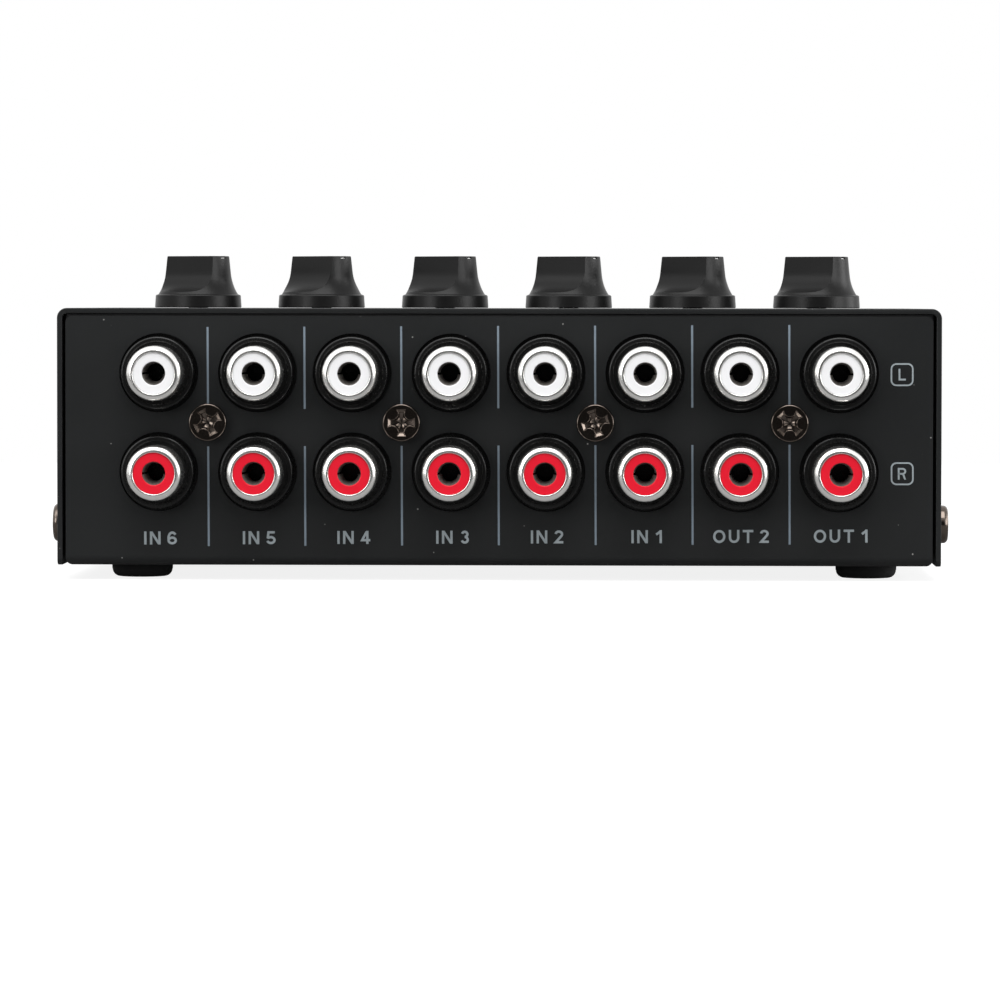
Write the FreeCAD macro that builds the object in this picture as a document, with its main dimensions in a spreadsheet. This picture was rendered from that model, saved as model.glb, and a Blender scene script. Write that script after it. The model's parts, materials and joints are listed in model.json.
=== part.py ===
import FreeCAD, Part
import os
import Sketcher

# Passive stereo mixer: a folded steel case with sixteen phono sockets on one
# long side and six pointer knobs in a row on its top.
# Frame: +X runs to the right as seen from the socket side, +Y away from that
# side, +Z up. The origin lies on the resting plane, under the middle of the
# whole. Every size is in millimetres and is kept in the sheet called Sizes.

doc = FreeCAD.newDocument("passive_stereo_mixer")

SIZES = {
    # folded case
    "case_width": 134.0,
    "case_height": 39.0,
    "case_depth": 80.0,
    "gauge": 0.8,
    "bend": 0.7,
    "side_gap": 0.5,
    "seam_gap": 0.4,
    "corner_radius": 1.0,
    "flange_height": 11.0,
    "flange_length": 70.0,
    "relief": 1.6,
    # rubber feet
    "foot_height": 2.3,
    "foot_radius": 4.75,
    "foot_span": 111.5,
    "foot_shift": 0.5,
    "foot_inset": 13.5,
    # phono sockets, in blocks of two by two
    "row_low": 14.2,
    "row_pitch": 15.0,
    "column_pitch": 15.0,
    "block_pitch": 29.35,
    "block_width": 29.0,
    "block_height": 29.2,
    "block_thick": 11.0,
    "panel_hole": 6.0,
    "collar_radius": 5.5,
    "collar_reach": 3.0,
    "socket_reach": 9.3,
    "sleeve_radius": 4.15,
    "sleeve_flat": 3.15,
    "nose_flat": 3.14,
    "nose_recess": 0.2,
    "nose_bore": 1.75,
    "tail_width": 1.2,
    "tail_thick": 0.4,
    "tail_pitch": 0.8,
    "earth_drop": 3.65,
    # screws at the sides
    "screw_height": 6.05,
    "screw_inset": 10.0,
    "screw_head": 2.9,
    "screw_rise": 1.55,
    # boards and what stands between them
    "board_width": 120.0,
    "board_thick": 1.6,
    "jack_board_start": 2.6,
    "jack_board_depth": 66.0,
    "pot_board_depth": 28.0,
    "spacer_x": 55.0,
    "spacer_spread": 10.0,
    "spacer_half": 3.0,
    "plug_half": 15.24,
    "plug_thick": 2.5,
    "ribbon_half": 14.0,
    "ribbon_thick": 0.9,
    "link_y": 4.0,
    "chip_length": 3.2,
    "chip_width": 1.6,
    "chip_height": 0.6,
    "chip_y": 27.0,
    "chip_spread": 2.0,
    # potentiometers and knobs
    "knob_row": 55.0,
    "knob_pitch": 20.0,
    "pot_width": 9.8,
    "pot_thick": 11.4,
    "pot_height": 12.6,
    "shaft_hole": 2.3,
    "shaft_radius": 1.6,
    "shaft_bore": 1.65,
    "shaft_depth": 7.5,
    "shaft_play": 0.1,
    "shaft_rise": 7.0,
    "shaft_flat": 1.1,
    "flat_start": 0.1,
    "knob_bore": 1.62,
    "knob_flat": 1.12,
    "knob_gap": 0.15,
    "knob_height": 8.2,
    "knob_roof": 1.2,
    "skirt_radius": 7.0,
    "skirt_height": 2.0,
    "flare_foot": 6.5,
    "flare_waist": 5.42,
    "waist_height": 4.7,
    "crown_radius": 5.12,
    "bar_foot": 2.4,
    "bar_crest": 2.15,
    "scoop_floor": 2.4,
    "scoop_radius": 3.8,
    "slot_half": 0.5,
    "slot_depth": 0.4,
    "slot_start": 0.6,
    "slot_end": 6.0,
    "mark_end": 4.9,
    "mark_thick": 0.15,
    # how far each pointer is turned from +X towards the sockets, in degrees
    "turn_1": 33.0,
    "turn_2": 44.0,
    "turn_3": 38.0,
    "turn_4": 33.5,
    "turn_5": 40.0,
    "turn_6": 36.0,
}
KNOBS = range(1, 7)
BOTH = ("-", "+")

# Places in the case's own frame, which lies under the middle of the case.
PANEL = "(Sizes.case_depth / 2)"
HALF_WIDTH = "(Sizes.case_width / 2)"
CHASSIS_HALF = "(Sizes.case_width / 2 - Sizes.gauge - Sizes.side_gap)"
FOLD = "(Sizes.gauge + Sizes.bend)"
BLOCK_BACK = "(Sizes.case_depth / 2 - Sizes.gauge - Sizes.block_thick)"
BLOCK_FRONT = "(Sizes.case_depth / 2 - Sizes.gauge)"
COLLAR_FRONT = "(Sizes.case_depth / 2 + Sizes.collar_reach)"
ROWS = ("Sizes.row_low", "(Sizes.row_low + Sizes.row_pitch)")
BLOCK_MID = "(Sizes.row_low + Sizes.row_pitch / 2)"
COLUMNS = [f"(-1.5 * Sizes.block_pitch {sign} Sizes.column_pitch / 2)" for sign in BOTH]
JACK_BOARD_TOP = "(Sizes.row_low + Sizes.row_pitch / 2 - Sizes.block_height / 2)"
POT_BOARD_TOP = "(Sizes.case_height - Sizes.gauge - Sizes.pot_height)"
KNOB_Y = "(Sizes.knob_row - Sizes.case_depth / 2)"


def fill_sheet():
    """One row for each driving dimension: its name, and its value under that alias."""
    sheet = doc.addObject("Spreadsheet::Sheet", "Sizes")
    for row, (alias, value) in enumerate(SIZES.items(), 1):
        sheet.set(f"A{row}", alias)
        sheet.set(f"B{row}", str(value))
        sheet.setAlias(f"B{row}", alias)
    doc.recompute()
    return sheet


sheet = fill_sheet()
sub_parts = []


def number(expression):
    """What an expression on the sheet comes to."""
    return float(sheet.evalExpression(expression))


def new_body(label, x="0", y="0", z="0", turn=None):
    """An empty body for one sub-part, placed in the case's frame and, for a part of a
    knob, turned about its upright axis."""
    body = doc.addObject("PartDesign::Body", label)
    body.Label = label
    body.AllowCompound = True
    if turn:
        body.Placement.Rotation = FreeCAD.Rotation(FreeCAD.Vector(0, 0, -1), number(turn))
        body.setExpression("Placement.Rotation.Angle", f"{turn} * 1 deg")
    body.setExpression("Placement.Base.x", x)
    body.setExpression("Placement.Base.y", f"{y} + Sizes.socket_reach / 2")
    body.setExpression("Placement.Base.z", f"{z} + Sizes.foot_height")
    sub_parts.append(body)
    return body


def new_sketch(body, plane, height="0"):
    """A sketch on one of the body's own planes, moved along its normal by height."""
    sketch = body.newObject("Sketcher::SketchObject", f"{body.Name}_sketch")
    origin_plane = next(f for f in body.Origin.OriginFeatures if f.Role == f"{plane}_Plane")
    sketch.AttachmentSupport = [(origin_plane, "")]
    sketch.MapMode = "FlatFace"
    sketch.setExpression("AttachmentOffset.Base.z", height)
    return sketch


def bind(sketch, kind, where, expression):
    """A dimension of the sketch that follows an expression on the sheet."""
    made = sketch.addConstraint(Sketcher.Constraint(kind, *where, number(expression)))
    name = f"{kind}_{made}"
    sketch.renameConstraint(made, name)
    sketch.setExpression(f"Constraints.{name}", expression)


def bind_point(sketch, edge, end, x, y):
    bind(sketch, "DistanceX", (-1, 1, edge, end), x)
    bind(sketch, "DistanceY", (-1, 1, edge, end), y)


def circle(sketch, x, y, radius):
    centre = FreeCAD.Vector(number(x), number(y), 0)
    edge = sketch.addGeometry(Part.Circle(centre, FreeCAD.Vector(0, 0, 1), number(radius)))
    bind_point(sketch, edge, 3, x, y)
    bind(sketch, "Radius", (edge,), radius)


def outline(sketch, corners, arcs=None):
    """A closed outline. arcs gives, for the edge after a corner, its radius and the
    side it bulges to: +1 to the right of the way the outline runs, -1 to the left."""
    arcs = arcs or {}
    points = [FreeCAD.Vector(number(x), number(y), 0) for x, y in corners]
    ends = []
    for i, start in enumerate(points):
        finish = points[(i + 1) % len(points)]
        if i in arcs:
            radius, side = number(arcs[i][0]), arcs[i][1]
            chord = finish - start
            right = FreeCAD.Vector(chord.y, -chord.x, 0).normalize()
            rise = radius - (radius**2 - (chord.Length / 2) ** 2) ** 0.5
            shape = Part.Arc(start, (start + finish) / 2 + right * side * rise, finish)
            ends.append((sketch.addGeometry(shape), *((1, 2) if side > 0 else (2, 1))))
        else:
            ends.append((sketch.addGeometry(Part.LineSegment(start, finish)), 1, 2))
    for i, (edge, first, last) in enumerate(ends):
        next_edge, next_first = ends[(i + 1) % len(ends)][:2]
        sketch.addConstraint(Sketcher.Constraint("Coincident", edge, last, next_edge, next_first))
        bind_point(sketch, edge, first, *corners[i])
    for i, (radius, _) in arcs.items():
        bind(sketch, "Radius", (ends[i][0],), radius)


def rectangle(sketch, x, y, half_x, half_y):
    left, right = f"{x} - {half_x}", f"{x} + {half_x}"
    bottom, top = f"{y} - {half_y}", f"{y} + {half_y}"
    outline(sketch, [(left, bottom), (right, bottom), (right, top), (left, top)])


def octagon(sketch, x, y, flat):
    """A regular octagon, two of its sides level; flat is its centre's distance to each."""
    half_side = f"({flat} * tan(22.5 deg))"
    signs = ["+-", "++", "++", "-+", "-+", "--", "--", "+-"]
    reach = [(flat, half_side), (flat, half_side), (half_side, flat), (half_side, flat)] * 2
    corners = [(f"{x} {s[0]} {a}", f"{y} {s[1]} {b}") for s, (a, b) in zip(signs, reach)]
    outline(sketch, corners)


def pad(body, sketch, length, both_ways=False):
    feature = body.newObject("PartDesign::Pad", f"{body.Name}_pad")
    feature.Profile = sketch
    feature.SideType = "Symmetric" if both_ways else "One side"
    feature.setExpression("Length", length)
    doc.recompute()


def pocket(body, sketch, depth, both_ways=False):
    """A cut against the sketch's normal, which has to take something away."""
    before = body.Shape.Volume
    feature = body.newObject("PartDesign::Pocket", f"{body.Name}_pocket")
    feature.Profile = sketch
    feature.SideType = "Symmetric" if both_ways else "One side"
    feature.setExpression("Length", depth)
    doc.recompute()
    if body.Shape.Volume >= before:
        raise RuntimeError(f"a pocket of {body.Label} cut nothing")


def block_row(body, sketch):
    """The body again for each of the four socket blocks."""
    feature = body.newObject("PartDesign::LinearPattern", f"{body.Name}_row")
    feature.TransformMode = "Whole shape"
    feature.Direction = (sketch, ["H_Axis"])
    feature.Occurrences = 4
    feature.setExpression("Length", "3 * Sizes.block_pitch")
    body.Tip = feature
    doc.recompute()


def dress(body, kind, size, axis, place, longest="1000"):
    """A fillet or chamfer on the edges that lie flat on the plane axis = place."""
    base = body.Tip
    level = number(place)
    names = []
    for i, edge in enumerate(base.Shape.Edges, 1):
        low = getattr(edge.BoundBox, f"{axis}Min")
        high = getattr(edge.BoundBox, f"{axis}Max")
        if abs(low - level) + abs(high - level) < 1e-3 and edge.Length < number(longest) + 1e-3:
            names.append(f"Edge{i}")
    feature = body.newObject(f"PartDesign::{kind}", f"{body.Name}_{kind.lower()}")
    feature.Base = (base, names)
    feature.setExpression("Radius" if kind == "Fillet" else "Size", size)
    doc.recompute()


def channel(sketch, half, web, rim, side):
    """The section of a sheet folded twice: a level web and two legs. side is + when
    the legs rise from the web and - when they hang from it."""
    bent, flat = f"{web} {side} {FOLD}", f"{web} {side} Sizes.gauge"
    inner, root = f"({half} - Sizes.gauge)", f"({half} - {FOLD})"
    outer_side = 1 if side == "+" else -1
    outline(
        sketch,
        [
            (f"-{half}", rim),
            (f"-{half}", bent),
            (f"-{root}", web),
            (root, web),
            (half, bent),
            (half, rim),
            (inner, rim),
            (inner, bent),
            (root, flat),
            (f"-{root}", flat),
            (f"-{inner}", bent),
            (f"-{inner}", rim),
        ],
        {
            1: (FOLD, outer_side),
            3: (FOLD, outer_side),
            7: ("Sizes.bend", -outer_side),
            9: ("Sizes.bend", -outer_side),
        },
    )


def round_lower_corners(body):
    """Takes the sharp lower corners off both upright panels, as seen from the front."""
    sketch = new_sketch(body, "XZ")
    for sign, side in zip(BOTH, (1, -1)):
        corners = [
            (f"{sign}({CHASSIS_HALF} - Sizes.corner_radius)", "0"),
            (f"{sign}{CHASSIS_HALF}", "0"),
            (f"{sign}{CHASSIS_HALF}", "Sizes.corner_radius"),
        ]
        outline(sketch, corners, {2: ("Sizes.corner_radius", side)})
    pocket(body, sketch, "Sizes.case_depth", both_ways=True)


def make_chassis():
    """Floor, socket panel and user's panel folded from one sheet, with a flange up each
    side for the screws of the cover."""
    body = new_body("chassis")
    panel_top = "(Sizes.case_height - Sizes.gauge - Sizes.seam_gap)"
    panels = new_sketch(body, "YZ")
    channel(panels, PANEL, "0", panel_top, "+")
    pad(body, panels, f"2 * {CHASSIS_HALF}", both_ways=True)
    round_lower_corners(body)
    dress(body, "Fillet", "Sizes.corner_radius", "Z", panel_top, "Sizes.gauge")

    notches = new_sketch(body, "XY", "Sizes.gauge")
    for sign in BOTH:
        length = "(Sizes.flange_length / 2 + Sizes.relief)"
        rectangle(notches, f"{sign}{CHASSIS_HALF}", "0", FOLD, length)
    pocket(body, notches, "Sizes.gauge")
    flanges = new_sketch(body, "XZ")
    channel(flanges, CHASSIS_HALF, "0", "Sizes.flange_height", "+")
    pad(body, flanges, "Sizes.flange_length", both_ways=True)

    holes = new_sketch(body, "XZ", PANEL)
    for step in range(4):
        for column in COLUMNS:
            for row in ROWS:
                circle(holes, f"{step} * Sizes.block_pitch + {column}", row, "Sizes.panel_hole")
    pocket(body, holes, "Sizes.gauge")


def make_cover():
    """Top and two sides folded from one sheet, with six shaft holes in a row."""
    body = new_body("top_cover")
    section = new_sketch(body, "XZ")
    channel(section, HALF_WIDTH, "Sizes.case_height", "0", "-")
    pad(body, section, "Sizes.case_depth", both_ways=True)
    dress(body, "Fillet", "Sizes.corner_radius", "Z", "0", "Sizes.gauge")

    shafts = new_sketch(body, "XY", "Sizes.case_height")
    for knob in KNOBS:
        circle(shafts, knob_x(knob), KNOB_Y, "Sizes.shaft_hole")
    pocket(body, shafts, "Sizes.gauge")


def make_jack_blocks():
    """Four moulded housings, each with four collars that reach out through the panel."""
    body = new_body("jack_blocks")
    box = new_sketch(body, "XZ", BLOCK_BACK)
    middle = "(-1.5 * Sizes.block_pitch)"
    rectangle(box, middle, BLOCK_MID, "Sizes.block_width / 2", "Sizes.block_height / 2")
    pad(body, box, "Sizes.block_thick")
    collars = new_sketch(body, "XZ", BLOCK_FRONT)
    for x in COLUMNS:
        for row in ROWS:
            circle(collars, x, row, "Sizes.collar_radius")
    pad(body, collars, "Sizes.gauge + Sizes.collar_reach")
    block_row(body, box)


def make_sleeves():
    """Plated earth sleeves, seated on the collars, octagonal inside."""
    body = new_body("jack_sleeves")
    rings = new_sketch(body, "XZ", COLLAR_FRONT)
    for x in COLUMNS:
        for row in ROWS:
            circle(rings, x, row, "Sizes.sleeve_radius")
            octagon(rings, x, row, "Sizes.sleeve_flat")
    pad(body, rings, "Sizes.socket_reach - Sizes.collar_reach")
    block_row(body, rings)


def make_inserts(label, row):
    """Insulating noses of one colour. Each is a bored plug, octagonal outside so that it
    can't turn in its sleeve."""
    body = new_body(label)
    noses = new_sketch(body, "XZ", COLLAR_FRONT)
    for x in COLUMNS:
        octagon(noses, x, row, "Sizes.nose_flat")
        circle(noses, x, row, "Sizes.nose_bore")
    pad(body, noses, "Sizes.socket_reach - Sizes.collar_reach - Sizes.nose_recess")
    block_row(body, noses)


def make_tails():
    """Tinned tails behind the blocks, one from each earth and one from each centre
    contact. They run level, then down to the socket board, in ranks that clear."""
    body = new_body("jack_tails")
    half = "Sizes.tail_thick / 2"
    rank = 0
    for row in ROWS:
        for height in (f"({row} - Sizes.earth_drop)", row):
            rank += 1
            back = f"({BLOCK_BACK} - {rank} * Sizes.tail_pitch)"
            level = new_sketch(body, "XZ", f"{back} - {half}")
            down = new_sketch(body, "XY", JACK_BOARD_TOP)
            for x in COLUMNS:
                rectangle(level, x, height, "Sizes.tail_width / 2", half)
                rectangle(down, x, f"-{back}", "Sizes.tail_width / 2", half)
            pad(body, level, f"{rank} * Sizes.tail_pitch + {half}")
            pad(body, down, f"{height} + {half} - {JACK_BOARD_TOP}")
    block_row(body, level)


def make_case_screws():
    """The heads of the two screws at each side of the cover."""
    body = new_body("cover_screws")
    for height in (HALF_WIDTH, f"-{HALF_WIDTH} - Sizes.screw_rise"):
        heads = new_sketch(body, "YZ", height)
        for end in BOTH:
            y = f"{end}({PANEL} - Sizes.screw_inset)"
            circle(heads, y, "Sizes.screw_height", "Sizes.screw_head")
        pad(body, heads, "Sizes.screw_rise")


def make_feet():
    body = new_body("rubber_feet")
    sketch = new_sketch(body, "XY", "-Sizes.foot_height")
    for side in BOTH:
        for end in BOTH:
            x = f"{side}Sizes.foot_span / 2 + Sizes.foot_shift"
            y = f"{end}({PANEL} - Sizes.foot_inset)"
            circle(sketch, x, y, "Sizes.foot_radius")
    pad(body, sketch, "Sizes.foot_height")


def make_board(label, top, middle, depth):
    body = new_body(label)
    sketch = new_sketch(body, "XY", f"{top} - Sizes.board_thick")
    rectangle(sketch, "0", middle, "Sizes.board_width / 2", f"{depth} / 2")
    pad(body, sketch, "Sizes.board_thick")


def make_spacers():
    """Square nylon spacers, four under the socket board and four between the boards."""
    body = new_body("board_spacers")
    for bottom, board_top in (("Sizes.gauge", JACK_BOARD_TOP), (JACK_BOARD_TOP, POT_BOARD_TOP)):
        sketch = new_sketch(body, "XY", bottom)
        for side in BOTH:
            for end in BOTH:
                y = f"{KNOB_Y} {end} Sizes.spacer_spread"
                half = "Sizes.spacer_half"
                rectangle(sketch, f"{side}Sizes.spacer_x", y, half, half)
        pad(body, sketch, f"{board_top} - Sizes.board_thick - {bottom}")


def make_link():
    """The ribbon that joins the boards, with a plug at each end."""
    body = new_body("board_link")
    under = f"({POT_BOARD_TOP} - Sizes.board_thick)"
    pieces = [
        (JACK_BOARD_TOP, "plug", "Sizes.plug_thick"),
        (f"({under} - Sizes.plug_thick)", "plug", "Sizes.plug_thick"),
        (JACK_BOARD_TOP, "ribbon", f"{under} - {JACK_BOARD_TOP}"),
    ]
    for bottom, name, length in pieces:
        sketch = new_sketch(body, "XY", bottom)
        rectangle(sketch, "0", "Sizes.link_y", f"Sizes.{name}_half", f"Sizes.{name}_thick / 2")
        pad(body, sketch, length)


def make_resistors():
    """Two mixing resistors for each potentiometer, on top of its board."""
    body = new_body("mix_resistors")
    sketch = new_sketch(body, "XY", POT_BOARD_TOP)
    for knob in KNOBS:
        for sign in BOTH:
            x = f"{knob_x(knob)} {sign} Sizes.chip_spread"
            rectangle(sketch, x, "Sizes.chip_y", "Sizes.chip_width / 2", "Sizes.chip_length / 2")
    pad(body, sketch, "Sizes.chip_height")


def knob_x(knob):
    return f"({knob} - 3.5) * Sizes.knob_pitch"


def make_pot(knob):
    """A potentiometer's housing under the cover, bored for its shaft."""
    body = new_body(f"pot_{knob}", knob_x(knob), KNOB_Y)
    box = new_sketch(body, "XY", POT_BOARD_TOP)
    rectangle(box, "0", "0", "Sizes.pot_width / 2", "Sizes.pot_thick / 2")
    pad(body, box, "Sizes.pot_height")
    bore = new_sketch(body, "XY", f"{POT_BOARD_TOP} + Sizes.pot_height")
    circle(bore, "0", "0", "Sizes.shaft_bore")
    pocket(body, bore, "Sizes.shaft_depth - Sizes.gauge + Sizes.shaft_play")


def d_section(sketch, radius, flat):
    """A round section with a flat across it, towards +X."""
    rise = f"sqrt({radius} ^ 2 - {flat} ^ 2)"
    corners = [(flat, f"-{rise}"), (flat, rise), (f"-{radius}", "0")]
    outline(sketch, corners, {1: (radius, 1), 2: (radius, 1)})


def on_axis(kind, knob, height):
    """A body on a knob's axis, height above the cover, turned with its pointer."""
    label = f"{kind}_{knob}"
    above = f"Sizes.case_height + {height}"
    return new_body(label, knob_x(knob), KNOB_Y, above, f"Sizes.turn_{knob}")


def make_shaft(knob):
    body = on_axis("shaft", knob, "0")
    stem = new_sketch(body, "XY", "-Sizes.shaft_depth")
    circle(stem, "0", "0", "Sizes.shaft_radius")
    pad(body, stem, "Sizes.shaft_depth + Sizes.flat_start")
    end = new_sketch(body, "XY", "Sizes.flat_start")
    d_section(end, "Sizes.shaft_radius", "Sizes.shaft_flat")
    pad(body, end, "Sizes.shaft_rise - Sizes.flat_start")


def make_knob(knob):
    """A turned blank with a flared waist, which two scoops cut down to a bar that is
    thinner at its crest, on a round skirt. Below is the bore for the shaft, and along
    the crest runs a slot for the mark, open at the bar's end."""
    body = on_axis("knob", knob, "Sizes.knob_gap")
    section = new_sketch(body, "YZ")
    outline(
        section,
        [
            ("0", "Sizes.skirt_height"),
            ("Sizes.flare_foot", "Sizes.skirt_height"),
            ("Sizes.flare_waist", "Sizes.waist_height"),
            ("Sizes.crown_radius", "Sizes.knob_height"),
            ("0", "Sizes.knob_height"),
        ],
    )
    blank = body.newObject("PartDesign::Revolution", f"{body.Name}_turned")
    blank.Profile = section
    blank.ReferenceAxis = (section, ["V_Axis"])
    blank.Angle = 360
    doc.recompute()

    for sign, side in zip(BOTH, (-1, 1)):
        scoop = new_sketch(body, "YZ")
        edge = f"{sign}Sizes.skirt_radius"
        corners = [
            (f"{sign}Sizes.bar_crest", "Sizes.knob_height"),
            (f"{sign}Sizes.bar_foot", "Sizes.scoop_floor + Sizes.scoop_radius"),
            (f"{sign}(Sizes.bar_foot + Sizes.scoop_radius)", "Sizes.scoop_floor"),
            (edge, "Sizes.scoop_floor"),
            (edge, "Sizes.knob_height"),
        ]
        outline(scoop, corners, {1: ("Sizes.scoop_radius", side)})
        pocket(body, scoop, "4 * Sizes.skirt_radius", both_ways=True)

    skirt = new_sketch(body, "XY")
    circle(skirt, "0", "0", "Sizes.skirt_radius")
    pad(body, skirt, "Sizes.skirt_height")
    bore = new_sketch(body, "XY", "Sizes.knob_height - Sizes.knob_roof")
    d_section(bore, "Sizes.knob_bore", "Sizes.knob_flat")
    pocket(body, bore, "Sizes.knob_height - Sizes.knob_roof")
    slot = new_sketch(body, "XY", "Sizes.knob_height")
    slot_outline(slot, "Sizes.slot_end")
    pocket(body, slot, "Sizes.slot_depth")


def slot_outline(sketch, end):
    """A strip along the bar, from near the axis to end."""
    middle = f"(Sizes.slot_start + {end}) / 2"
    rectangle(sketch, middle, "0", f"({end} - Sizes.slot_start) / 2", "Sizes.slot_half")


def make_mark(knob):
    """The white line on the floor of a knob's slot."""
    body = on_axis("pointer", knob, "Sizes.knob_gap")
    sketch = new_sketch(body, "XY", "Sizes.knob_height - Sizes.slot_depth")
    slot_outline(sketch, "Sizes.mark_end")
    pad(body, sketch, "Sizes.mark_thick")


def export_all():
    """Each sub-part to its own file, after every object has been looked at."""
    doc.recompute()
    for item in doc.Objects:
        if "Invalid" in item.State or "Error" in item.State:
            raise RuntimeError(f"{item.Name} is {item.State}")
    os.makedirs("parts", exist_ok=True)
    for body in sub_parts:
        if body.Shape.isNull() or not body.Shape.isValid():
            raise RuntimeError(f"{body.Label} has no valid shape")
        body.Shape.exportStep(f"parts/{body.Label}.step")


make_chassis()
make_cover()
make_jack_blocks()
make_sleeves()
make_inserts("white_inserts", ROWS[1])
make_inserts("red_inserts", ROWS[0])
make_tails()
make_case_screws()
make_feet()
board_middle = f"(Sizes.jack_board_start + Sizes.jack_board_depth / 2 - {PANEL})"
make_board("jack_board", JACK_BOARD_TOP, board_middle, "Sizes.jack_board_depth")
make_board("pot_board", POT_BOARD_TOP, KNOB_Y, "Sizes.pot_board_depth")
make_spacers()
make_link()
make_resistors()
for number_on_top in KNOBS:
    make_pot(number_on_top)
    make_shaft(number_on_top)
    make_knob(number_on_top)
    make_mark(number_on_top)
export_all()
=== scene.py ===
# %% [markdown]
# A passive stereo mixer. It is a plain thing: a folded steel case, sixteen phono sockets in
# four moulded blocks, and six knobs that turn. Its solids are made already and come in as a
# frame, which gives every place and size. They could be painted and shown as they are, but
# they are plain where the eye rests: at the sockets, the screws, the knobs and the
# lettering. So this lesson puts a finish on each solid, and makes finer pieces for those.

# %% Load the fixed frame
import json
import math

import bmesh
import bpy
from mathutils import Matrix, Vector


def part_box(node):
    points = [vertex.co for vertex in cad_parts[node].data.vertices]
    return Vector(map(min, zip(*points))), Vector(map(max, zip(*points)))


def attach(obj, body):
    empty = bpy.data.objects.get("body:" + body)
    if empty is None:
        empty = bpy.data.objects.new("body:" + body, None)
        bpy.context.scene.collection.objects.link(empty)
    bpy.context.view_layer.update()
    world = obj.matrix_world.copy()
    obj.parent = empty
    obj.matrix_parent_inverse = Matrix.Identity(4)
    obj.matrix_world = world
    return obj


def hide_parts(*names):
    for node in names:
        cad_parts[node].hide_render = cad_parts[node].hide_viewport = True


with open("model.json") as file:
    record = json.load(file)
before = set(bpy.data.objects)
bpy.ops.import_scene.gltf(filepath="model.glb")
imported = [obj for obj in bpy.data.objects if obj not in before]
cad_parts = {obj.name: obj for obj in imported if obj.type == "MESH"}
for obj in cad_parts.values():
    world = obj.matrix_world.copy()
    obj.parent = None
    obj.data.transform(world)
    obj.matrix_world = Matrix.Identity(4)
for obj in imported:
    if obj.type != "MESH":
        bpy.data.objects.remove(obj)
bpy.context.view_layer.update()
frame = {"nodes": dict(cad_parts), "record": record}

# %% [markdown]
# Sizes. All lengths below are in millimetres until the last moment, and MM turns them into
# the metres of the frame. What the solids can tell is read from them and not typed again, so
# that no finer piece drifts away from the solid that it stands for.

# %% Sizes read from the solids
MM = 0.001
BLOCK_PITCH = 29.35
SOCKET_PITCH = 15.0


def corners(node):
    """The lowest and the highest corner of a solid, in millimetres."""
    return [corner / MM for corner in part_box(node)]


def middle_z(node):
    low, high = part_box(node)
    return (low.z + high.z) / 2 / MM


panel_y, rear_y = (corner.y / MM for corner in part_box("chassis"))
collar_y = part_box("jack_blocks")[0].y / MM
tip_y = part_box("jack_sleeves")[0].y / MM
cover_low, cover_high = corners("top_cover")
foot_height = cover_low.z
block_x = [(block - 1.5) * BLOCK_PITCH for block in range(4)]
column_x = [x + side * SOCKET_PITCH / 2 for x in block_x for side in (-1, 1)]
red_z, white_z = middle_z("red_inserts"), middle_z("white_inserts")
screw_z = (red_z + white_z) / 2
print("panel at", round(panel_y, 2), "rows at", round(red_z, 2), round(white_z, 2))

# %% [markdown]
# Sums on sockets. A material is a graph of nodes, and a graph is hard to read in code. The
# class below holds one output of a node and knows how to add, subtract, multiply and divide
# it, so that a line such as `1 - mask * 0.3` writes its own Math nodes.

# %% A socket that can be used in a sum
class Wire:
    """One output of a node, on which sums can be written."""

    def __init__(self, graph, socket):
        self.graph = graph
        self.socket = socket

    def sum(self, operation, left, right):
        return self.graph.node("Math", {"operation": operation}, {0: left, 1: right})

    def __add__(self, other):
        return self.sum("ADD", self, other)

    def __radd__(self, other):
        return self.sum("ADD", other, self)

    def __sub__(self, other):
        return self.sum("SUBTRACT", self, other)

    def __rsub__(self, other):
        return self.sum("SUBTRACT", other, self)

    def __mul__(self, other):
        return self.sum("MULTIPLY", self, other)

    def __rmul__(self, other):
        return self.sum("MULTIPLY", other, self)

    def __truediv__(self, other):
        return self.sum("DIVIDE", self, other)

    def __rtruediv__(self, other):
        return self.sum("DIVIDE", other, self)


# %% [markdown]
# Every other kind of node comes from a single method, which takes the node's type, its
# settings and the values or links of its sockets. A material and the world are both such
# graphs around one shader, so one class serves them.

# %% A graph, to which any node is added by its type
class Graph:
    """The nodes of a material or of the world, around one shader."""

    def __init__(self, owner, output, shader):
        owner.use_nodes = True
        self.tree = owner.node_tree
        self.tree.nodes.clear()
        end = self.tree.nodes.new("ShaderNode" + output)
        self.shader = self.tree.nodes.new("ShaderNode" + shader)
        self.tree.links.new(self.shader.outputs[0], end.inputs["Surface"])

    def node(self, kind, settings=None, inputs=None, output=0):
        """A new node of a type, its settings first, then the values or links it reads."""
        made = self.tree.nodes.new("ShaderNode" + kind)
        for name, value in (settings or {}).items():
            if name == "stops":
                self.fill_ramp(made.color_ramp, value)
            else:
                setattr(made, name, value)
        for name, value in (inputs or {}).items():
            self.feed(made.inputs[name], value)
        return Wire(self, made.outputs[output])

    def fill_ramp(self, ramp, stops):
        while len(ramp.elements) < len(stops):
            ramp.elements.new(0.5)
        for element, (position, colour) in zip(ramp.elements, stops):
            element.position = position
            element.color = (*colour, 1)

    def feed(self, socket, value):
        if isinstance(value, Wire):
            self.tree.links.new(value.socket, socket)
        else:
            socket.default_value = value

    def set(self, name, value):
        self.feed(self.shader.inputs[name], value)

    def seen(self):
        """1 where a ray comes from the camera, a reflection or a window, and 0 elsewhere."""
        rays = ("Is Camera Ray", "Is Glossy Ray", "Is Transmission Ray")
        camera, glossy, window = (self.node("LightPath", output=ray) for ray in rays)
        return camera, glossy + window


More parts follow.
